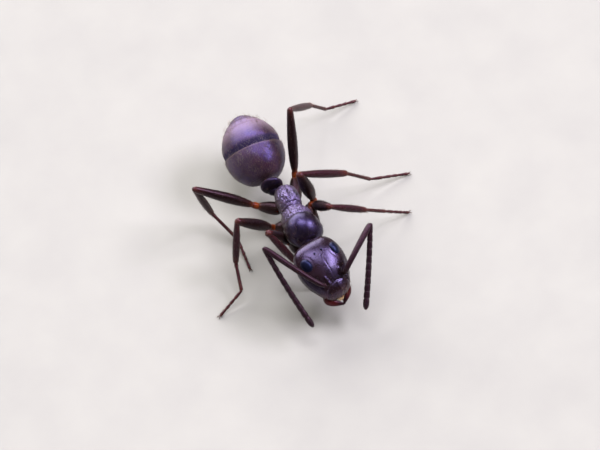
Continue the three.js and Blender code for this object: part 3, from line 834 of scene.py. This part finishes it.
# the joints of one leg, hip to toe
def jointsOf(data):
    hip = Vector(data["hip"]) + step
    root = reach(hip, *data["coxa"])
    knee = reach(root, *data["femur"])
    ankle = reach(knee, *data["tibia"])
    instep = reach(ankle, *data["foot"])
    length, heading = data["toes"]
    drop = math.degrees(math.asin((leg["toeHeight"] - instep.z) / length))
    return hip, root, knee, ankle, instep, reach(instep, length, heading, drop)


shapes = {}
for name in ("coxa", "trochanter", "femur", "tibia", "foot", "toe"):
    shapes[name] = drawOut(name + "Raw", leg[name], 14, 2)
    mark(shapes[name], "along", np.clip(spotsOf(shapes[name])[:, 1], 0, 1))
for name, along in (("claw", 1.0), ("spur", 0.0)):
    shapes[name] = drawOut(name + "Raw", leg[name], 8, 1)
    mark(shapes[name], "along", np.full(len(shapes[name].data.vertices), along))
# a rib under the thigh and an arched shin
press(shapes["femur"], (0, 0.4, -0.12), (0.06, 0.6, 0.06), -0.012)
press(shapes["tibia"], (0, 0.5, -0.08), (0.04, 0.6, 0.04), -0.008)

for name, data in legs.items():
    camel = camelOf(name)
    hip, root, knee, ankle, instep, toe = jointsOf(data)
    ring = root + (knee - root).normalized() * leg["trochanterLength"]
    girth = data["stout"]
    coxa = copyOf(shapes["coxa"], "coxa" + camel, boneFrame(hip, root, girth=1.05))
    trochanter = copyOf(shapes["trochanter"], "trochanter" + camel, boneFrame(root, ring))
    femur = copyOf(shapes["femur"], "femur" + camel, boneFrame(ring, knee, girth=girth))
    tibia = copyOf(shapes["tibia"], "tibia" + camel, boneFrame(knee, ankle, girth=girth))
    for part in (coxa, femur, tibia):
        keepSkin(part, part.name)
    # two spurs at the end of the shin, inside the bend of the ankle
    shin, inner = (ankle - knee).normalized(), (instep - ankle).normalized()
    side = shin.cross(inner)
    side = (side if side.length > 0.05 else shin.cross(Vector((0, 0, 1)))).normalized()
    spurs = []
    for hand, lean in ((1, 0.35), (-1, -0.15)):
        base = ankle - shin * 0.03 - side * 0.03 * hand - Vector((0, 0, 0.03))
        aim = (shin + inner * 0.4 - side * lean).normalized()
        spurs.append(copyOf(shapes["spur"], "spur", boneFrame(base, base + aim, stretch=False)))
    tibia = join(tibia.name, [tibia, *spurs])
    bits = [copyOf(shapes["foot"], "foot", boneFrame(ankle, instep))]
    start = instep
    for k, share in enumerate(leg["toeShares"], 1):
        end = start + (toe - instep) * share
        bits.append(copyOf(shapes["toe"], "toe", boneFrame(start, end, girth=1.0 - leg["toeTaper"] * k)))
        start = end
    tread = (toe - instep).normalized()
    for hand in (1, -1):
        spread = Matrix.Rotation(math.radians(hand * leg["clawSpread"]), 3, "Z") @ tread
        spread.z = -0.05
        turn = boneFrame(toe - tread * 0.01, toe + spread, stretch=False)
        bits.append(copyOf(shapes["claw"], "claw", turn))
    foot = join("foot" + camel, bits)
    keepSkin(foot, foot.name)
    low = spotsOf(foot)
    low[:, 2] = np.maximum(low[:, 2], 0.0)   # claws stand on the floor, not in it
    putSpots(foot, low)
    for piece, slot, node in ((coxa, "hip", "coxa"), (trochanter, "joint", "trochanter"),
                              (femur, "femur", "femur"), (tibia, "tibia", "tibia"),
                              (foot, "tarsus", "tarsus")):
        done(piece, horns[node], slot, node + "_" + name)
discard(*shapes.values())
print("legs made")

feeler = {
    "left": {"elbow": (1.18, -1.4, 1.86), "lift": (0.3, -1.99, 1.62), "middle": (0.74, -2.1, 1.28),
             "tip": (0.24, -2.82, 0.62)},
    "right": {"elbow": (-1.42, -0.86, 2.08), "lift": (-0.78, -1.84, 1.62), "middle": (-1.28, -1.75, 1.32),
              "tip": (-1.08, -2.62, 0.6)},
    "scape": [(-0.03, 0.03), (-0.005, 0.058), (0.03, 0.06), (0.055, 0.036),
              (0.09, 0.052), (0.25, 0.062), (0.5, 0.069), (0.75, 0.075),
              (0.93, 0.079), (0.985, 0.07), (1, 0.036)],
    "bead": [(-0.06, 0.045), (0.04, 0.064), (0.35, 0.068), (0.8, 0.071),
             (0.96, 0.069), (1, 0.056)],
    "lastBead": [(-0.06, 0.03), (0.03, 0.062), (0.3, 0.07), (0.6, 0.068),
                 (0.85, 0.05), (0.97, 0.026), (1, 0.01)],
    "shares": [0.115, 0.09, 0.085, 0.085, 0.083, 0.082, 0.082, 0.08, 0.08, 0.08, 0.138],
    "swell": 0.2,    # how much wider the whip grows towards its tip
}


# a smooth line through three points, at t from 0 to 1
def through(a, b, c, t):
    mid = b * 2 - (a + c) / 2
    return a * (1 - t) ** 2 + mid * 2 * t * (1 - t) + c * t * t


scapeRaw, beadRaw, lastRaw = (drawOut(name + "Raw", feeler[name], 14, 2)
                              for name in ("scape", "bead", "lastBead"))
for side, hand in (("left", 1), ("right", -1)):
    elbow, lift, bend, tip = (Vector(feeler[side][k]) + step for k in ("elbow", "lift", "middle", "tip"))
    socket = socketOf(hand)
    scape = copyOf(scapeRaw, "scape" + side.capitalize(), Matrix())
    spots = spotsOf(scape)
    mark(scape, "along", np.clip(spots[:, 1], 0, 1))
    # laid along its curve, ring by ring
    laid = np.zeros_like(spots)
    for k, (x, y, z) in enumerate(spots):
        here, there = through(socket, lift, elbow, y - 0.01), through(socket, lift, elbow, y + 0.01)
        centre = (here + there) / 2
        laid[k] = boneFrame(centre, centre + (there - here), stretch=False) @ Vector((x, 0, z))
    putSpots(scape, laid)
    keepSkin(scape, scape.name)
    done(scape, horns["feeler"], "feeler", "scape_" + side)
    # the whip's beads take their shares of the length of a curve
    line = [through(elbow, bend, tip, k / 200) for k in range(201)]
    lengths = np.concatenate([[0], np.cumsum([(b - a).length for a, b in zip(line[:-1], line[1:])])])
    bits, reached = [], 0.0
    for k, share in enumerate(feeler["shares"]):
        ends = [through(elbow, bend, tip, np.interp(t * lengths[-1], lengths, np.arange(201)) / 200)
                for t in (reached, reached + share)]
        reached += share
        last = k == len(feeler["shares"]) - 1
        thick = (0.92 if k == 0 else 0.95) * (1 + feeler["swell"] * reached)
        bead = copyOf(lastRaw if last else beadRaw, "bead", boneFrame(*ends, girth=thick))
        mark(bead, "along", np.full(len(bead.data.vertices), reached))
        bits.append(bead)
    whip = join("whip" + side.capitalize(), bits)
    keepSkin(whip, whip.name)
    done(whip, horns["feeler"], "feeler", "funiculus_" + side)
discard(scapeRaw, beadRaw, lastRaw)
print("feelers made")


# Every hair is a bent spike with three sides. Roots are picked evenly over a piece, each hair
# has its own small patch of the map at its root's place on that piece's unrolled shape.
class Coat:
    stray, lengths, rises = 0.16, (0.7, 1.25), (0.7, 1.3)   # how unlike each other hairs are
    patchSize = 0.0015                                      # of one hair on the map

    def __init__(self, name):
        self.name, self.spots, self.faces, self.patches, self.cells = name, [], [], [], 0

    # grid cell of the map that one skin unrolls into
    def cellOf(self, columns=8):
        cell, self.cells = self.cells, self.cells + 1
        return cell % columns / columns, cell // columns / columns, 1 / columns

    # look is (length, thickness, rise), comb is the way the hairs lie in the piece's own frame
    def grow(self, skin, base, count, look, comb, seed, keepWhere=None):
        length, thick, lift = look
        chance = np.random.default_rng(seed)
        mesh = skin.data
        mesh.calc_loop_triangles()
        corners = np.zeros(len(mesh.loop_triangles) * 3, int)
        mesh.loop_triangles.foreach_get("vertices", corners)
        corners = corners.reshape(-1, 3)
        spots, normals = spotsOf(skin), normalsOf(skin)
        a, b, c = (spots[corners[:, k]] for k in range(3))
        area = np.linalg.norm(np.cross(b - a, c - a), axis=1)
        picked = chance.choice(len(area), count, p=area / area.sum())
        u, v = chance.random(count), chance.random(count)
        flip = u + v > 1
        u[flip], v[flip] = 1 - u[flip], 1 - v[flip]
        root = a[picked] + (b - a)[picked] * u[:, None] + (c - a)[picked] * v[:, None]
        out = normals[corners[picked]].mean(axis=1)
        out /= np.linalg.norm(out, axis=1)[:, None]
        inverse = np.array(base.inverted())
        local = root @ inverse[:3, :3].T + inverse[:3, 3]
        if keepWhere:
            keep = keepWhere(local, chance)
            root, out, local = root[keep], out[keep], local[keep]
        way = np.array(base)[:3, :3] @ np.array(comb, float)
        way = way / np.linalg.norm(way) + chance.normal(0, self.stray, root.shape)
        flat = way - out * (way * out).sum(1)[:, None]
        flat /= np.maximum(np.linalg.norm(flat, axis=1), 1e-6)[:, None]
        n = len(root)
        long = length * chance.uniform(*self.lengths, n)
        rise = lift * chance.uniform(*self.rises, n)
        side = np.cross(flat, out)
        # the root's place on the map: once round the piece, and along it
        x0, y0, size = self.cellOf()
        low, high = local[:, 1].min(), local[:, 1].max() + 1e-6
        along = (local[:, 1] - low) / (high - low)
        around = np.arctan2(local[:, 0], local[:, 2] - local[:, 2].mean()) / (2 * math.pi) + 0.5
        patch = np.stack([x0 + (0.04 + 0.92 * around) * size, y0 + (0.04 + 0.92 * along) * size], axis=1)
        # two rings of three corners and a tip
        rings = []
        for share, girth in ((0.0, 1.0), (0.45, 0.75)):
            centre = root + flat * (long * share * np.cos(rise))[:, None] \
                + out * (long * share * np.sin(rise) - 0.002)[:, None]
            for k in range(3):
                angle = 2 * math.pi * k / 3
                rings.append(centre + (side * math.cos(angle) + out * math.sin(angle)) * thick * girth)
        bow = rise * 0.45
        rings.append(root + flat * (long * np.cos(bow))[:, None]
                     + out * (long * (np.sin(rise) * 0.45 + np.sin(bow) * 0.5))[:, None])
        block = np.stack(rings, axis=1)          # n, 7, 3
        block[:, :, 2] = np.maximum(block[:, :, 2], 0.001)
        first = sum(len(s) for s in self.spots) + np.arange(n)[:, None] * 7
        self.spots.append(block.reshape(-1, 3))
        for k in range(3):
            j = (k + 1) % 3
            self.faces.append(np.concatenate([first + k, first + j, first + 3 + j, first + 3 + k], axis=1))
            self.faces.append(np.concatenate([first + 3 + k, first + 3 + j, first + 6], axis=1))
        self.faces.append(np.concatenate([first + 2, first + 1, first], axis=1))
        self.patches.append(patch.repeat(7, axis=0))

    def finish(self, material, slot):
        mesh = bpy.data.meshes.new(self.name)
        faces = [row for block in self.faces for row in block.tolist()]
        mesh.from_pydata(np.concatenate(self.spots).tolist(), [], faces)
        mesh.update()
        loops = np.zeros(len(mesh.loops), int)
        mesh.loops.foreach_get("vertex_index", loops)
        corner = loops % 7
        around = np.stack([np.cos(corner * 2.1), np.sin(corner * 2.1)], axis=1)
        patches = np.concatenate(self.patches)[loops] + around * self.patchSize * (1 - 0.1 * corner)[:, None]
        mesh.uv_layers.new(name="OFBake").data.foreach_set("uv", patches.astype(np.float32).ravel())
        piece = bpy.data.objects.new(self.name, mesh)
        bpy.context.scene.collection.objects.link(piece)
        done(piece, material, slot)


# lengths and thicknesses in mm, and how steeply a hair rises, in radians
hairs = {
    "gaster": {"down": (0.065, 0.0022, 0.14), "bristle": (0.13, 0.0032, 0.9),
               "counts": [(5200, 300), (3600, 460), (1500, 420), (1100, 400), (700, 300)]},
    "trunk": {"down": (0.055, 0.0018, 0.2), "bristle": (0.12, 0.003, 1.1),
              "counts": {"pronotum": (1500, 44), "mesothorax": (1100, 32), "propodeum": (1200, 28),
                         "petiole": (500, 32)}},
    "head": {"down": (0.045, 0.0016, 0.18), "mouth": (0.13, 0.0036, 0.6), "crown": (0.1, 0.003, 1.1),
             "counts": (2600, 500, 70)},
    "leg": {"down": (0.05, 0.0016, 0.3), "bristle": (0.08, 0.0032, 0.7),
            "footDown": (0.04, 0.0016, 0.3), "footBristle": (0.06, 0.0032, 0.7),
            "counts": {"coxa": (260, 10), "femur": (620, 14), "tibia": (620, 40), "foot": (520, 60)}},
    "feeler": {"scape": (0.035, 0.0014, 0.3), "whip": (0.032, 0.0014, 0.45), "counts": (700, 1800)},
}
back, ahead = (0, 1, 0), (0, -1, 0)

down, stiff = Coat("hairGaster"), Coat("bristleGaster")
look = hairs["gaster"]
for i, (count, few) in enumerate(look["counts"]):
    skin = skins["gaster%d" % (i + 1)]
    front, rear = gaster["seams"][i] + (0.04 if i else 0), gaster["seams"][i + 1]
    down.grow(skin, gasterFrame, count, look["down"], back, 20 + i, lambda local, chance: local[:, 1] > front)
    # bristles stand in a row before the rear edge, and a few anywhere
    stiff.grow(skin, gasterFrame, few, look["bristle"], back, 40 + i, lambda local, chance: (
        local[:, 1] > front) & ((local[:, 1] < 0.8) & (np.abs(local[:, 1] - rear + 0.06) < 0.035)
                                | (chance.random(len(local)) < 0.05)))
down.finish(paleHair, "gaster")
stiff.finish(amberHair, "gaster")

down, stiff = Coat("hairTrunk"), Coat("bristleTrunk")
look = hairs["trunk"]
for i, (name, (count, few)) in enumerate(look["counts"].items()):
    base = waistFrame if name == "petiole" else trunkFrame
    down.grow(skins[name], base, count, look["down"], back, 60 + i)
    stiff.grow(skins[name], base, few, look["bristle"], back, 70 + i,
               lambda local, chance: local[:, 2] > 0.15)
down.finish(darkHair, "shell")
stiff.finish(amberHair, "shell")

down, stiff = Coat("hairHead"), Coat("bristleHead")
look = hairs["head"]
count, few, fewest = look["counts"]
down.grow(skins["head"], headFrame, count, look["down"], ahead, 80)
stiff.grow(skins["head"], headFrame, few, look["mouth"], (0, -1, -0.2), 81, lambda local, chance: (
    (local[:, 1] < -0.5) & (local[:, 2] > -0.1) & (chance.random(len(local)) < 0.6)))
stiff.grow(skins["head"], headFrame, fewest, look["crown"], ahead, 82, lambda local, chance: (
    ((local[:, 2] > 0.2) & (local[:, 1] > -0.3) | (local[:, 2] < -0.15))
    & (chance.random(len(local)) < 0.35)))
down.finish(darkHair, "shell")
stiff.finish(amberHair, "shell")

down, stiff, fine = Coat("hairLegs"), Coat("bristleLegs"), Coat("hairFeelers")
look = hairs["leg"]
for i, (name, data) in enumerate(legs.items()):
    hip, root, knee, ankle, instep, toe = jointsOf(data)
    ends = {"coxa": (hip, root), "femur": (root, knee), "tibia": (knee, ankle), "foot": (ankle, toe)}
    for part, (count, few) in look["counts"].items():
        base, skin = boneFrame(*ends[part], stretch=False), skins[part + camelOf(name)]
        kinds = ("footDown", "footBristle") if part == "foot" else ("down", "bristle")
        down.grow(skin, base, count, look[kinds[0]], back, 100 + i)
        stiff.grow(skin, base, few, look[kinds[1]], back, 120 + i)
look = hairs["feeler"]
for i, (side, hand) in enumerate((("left", 1), ("right", -1))):
    elbow, tip = (Vector(feeler[side][k]) + step for k in ("elbow", "tip"))
    for part, a, b, count, seed in (("scape", socketOf(hand), elbow, look["counts"][0], 140),
                                    ("whip", elbow, tip, look["counts"][1], 150)):
        base = boneFrame(a, b, stretch=False)
        fine.grow(skins[part + side.capitalize()], base, count, look[part], back, seed + i)
down.finish(darkHair, "tibia")
stiff.finish(amberHair, "tibia")
fine.finish(darkHair, "feeler")
for skin in skins.values():
    bpy.data.objects.remove(skin)
print("hair grown")

studio = {"floorSize": 0.8, "floor": ("#9a998f", "#9f9e93"), "sky": 0.12, "skyTone": "#dfe2ea"}
lights = {   # where each stands, seen from the ant, and how far off in metres
    "key": {"aim": (0.72, -0.18, 0.65), "far": 0.5, "size": (0.24, 0.14), "power": 3.3, "tone": "#ece6ff"},
    "top": {"aim": (0.2, 0.2, 0.95), "far": 0.5, "size": (0.36, 0.18), "power": 2.6, "tone": "#f2efff"},
    "rear": {"aim": (0.0, 0.88, 0.46), "far": 0.55, "size": (0.7, 0.42), "power": 7.8, "tone": "#fbf7ff"},
    "fill": {"aim": (-0.8, -0.3, 0.5), "far": 0.6, "size": (0.6, 0.6), "power": 0.5, "tone": "#fff4e6"},
}
choose()
bpy.ops.mesh.primitive_plane_add(size=studio["floorSize"], location=(0, 0, 0))
floor = bpy.context.object
floor.name = floor.data.name = "studioFloor"
editAll()
bpy.ops.mesh.subdivide(number_cuts=8)
bpy.ops.object.mode_set(mode="OBJECT")
# matt card: very finely mottled, no gloss to speak of
card, tree, shader, place = newMaterial("cardFloor", {"Roughness": 0.85, "Specular IOR Level": 0.2})
mottle = stops(tree, clouds(tree, place, 1.5, 3.0), list(zip((0.3, 0.7), studio["floor"])))
wire(tree, shader, {"Base Color": mottle})
floor.data.materials.append(card)

lookedAt = middle("mesothorax") * mm
for name, look in lights.items():
    lamp = bpy.data.lights.new(name + "Softbox", "AREA")
    lamp.shape = "RECTANGLE"
    lamp.size, lamp.size_y = look["size"]
    lamp.energy = look["power"]
    lamp.color = colour(look["tone"])[:3]
    box = bpy.data.objects.new(name + "Softbox", lamp)
    bpy.context.scene.collection.objects.link(box)
    away = Vector(look["aim"]).normalized()
    box.location = lookedAt + away * look["far"]
    box.rotation_euler = away.to_track_quat("Z", "Y").to_euler()
    box.visible_camera = False
world = bpy.data.worlds.new("paleRoom")
world.use_nodes = True
sky = world.node_tree.nodes["Background"].inputs
sky["Color"].default_value, sky["Strength"].default_value = colour(studio["skyTone"]), studio["sky"]
bpy.context.scene.world = world

view = {
    "across": (0.889, -0.452, -0.07), "up": (0.424, 0.758, 0.495),   # the way the camera is held
    "aim": (-0.284, -0.352, 1.116),   # the spot it looks at, in mm
    "far": 0.12, "seen": 14.63,       # metres to that spot, and mm seen from side to side there
    "sensor": 36,
}
across, up = Vector(view["across"]).normalized(), Vector(view["up"])
up = (up - across * up.dot(across)).normalized()
toward = across.cross(up)
lensData = bpy.data.cameras.new("longLens")
lensData.sensor_width = view["sensor"]
lensData.lens = view["sensor"] * view["far"] / (view["seen"] * mm)
lensData.clip_start, lensData.clip_end = 0.005, 5
camera = bpy.data.objects.new("longLens", lensData)
bpy.context.scene.collection.objects.link(camera)
spot = Vector(view["aim"]) * mm + toward * view["far"]
camera.matrix_world = Matrix((*zip(across, up, toward, spot), (0, 0, 0, 1)))
bpy.context.scene.camera = camera
bpy.context.scene.view_settings.view_transform = "Standard"
print("studio ready")

bpy.context.view_layer.update()
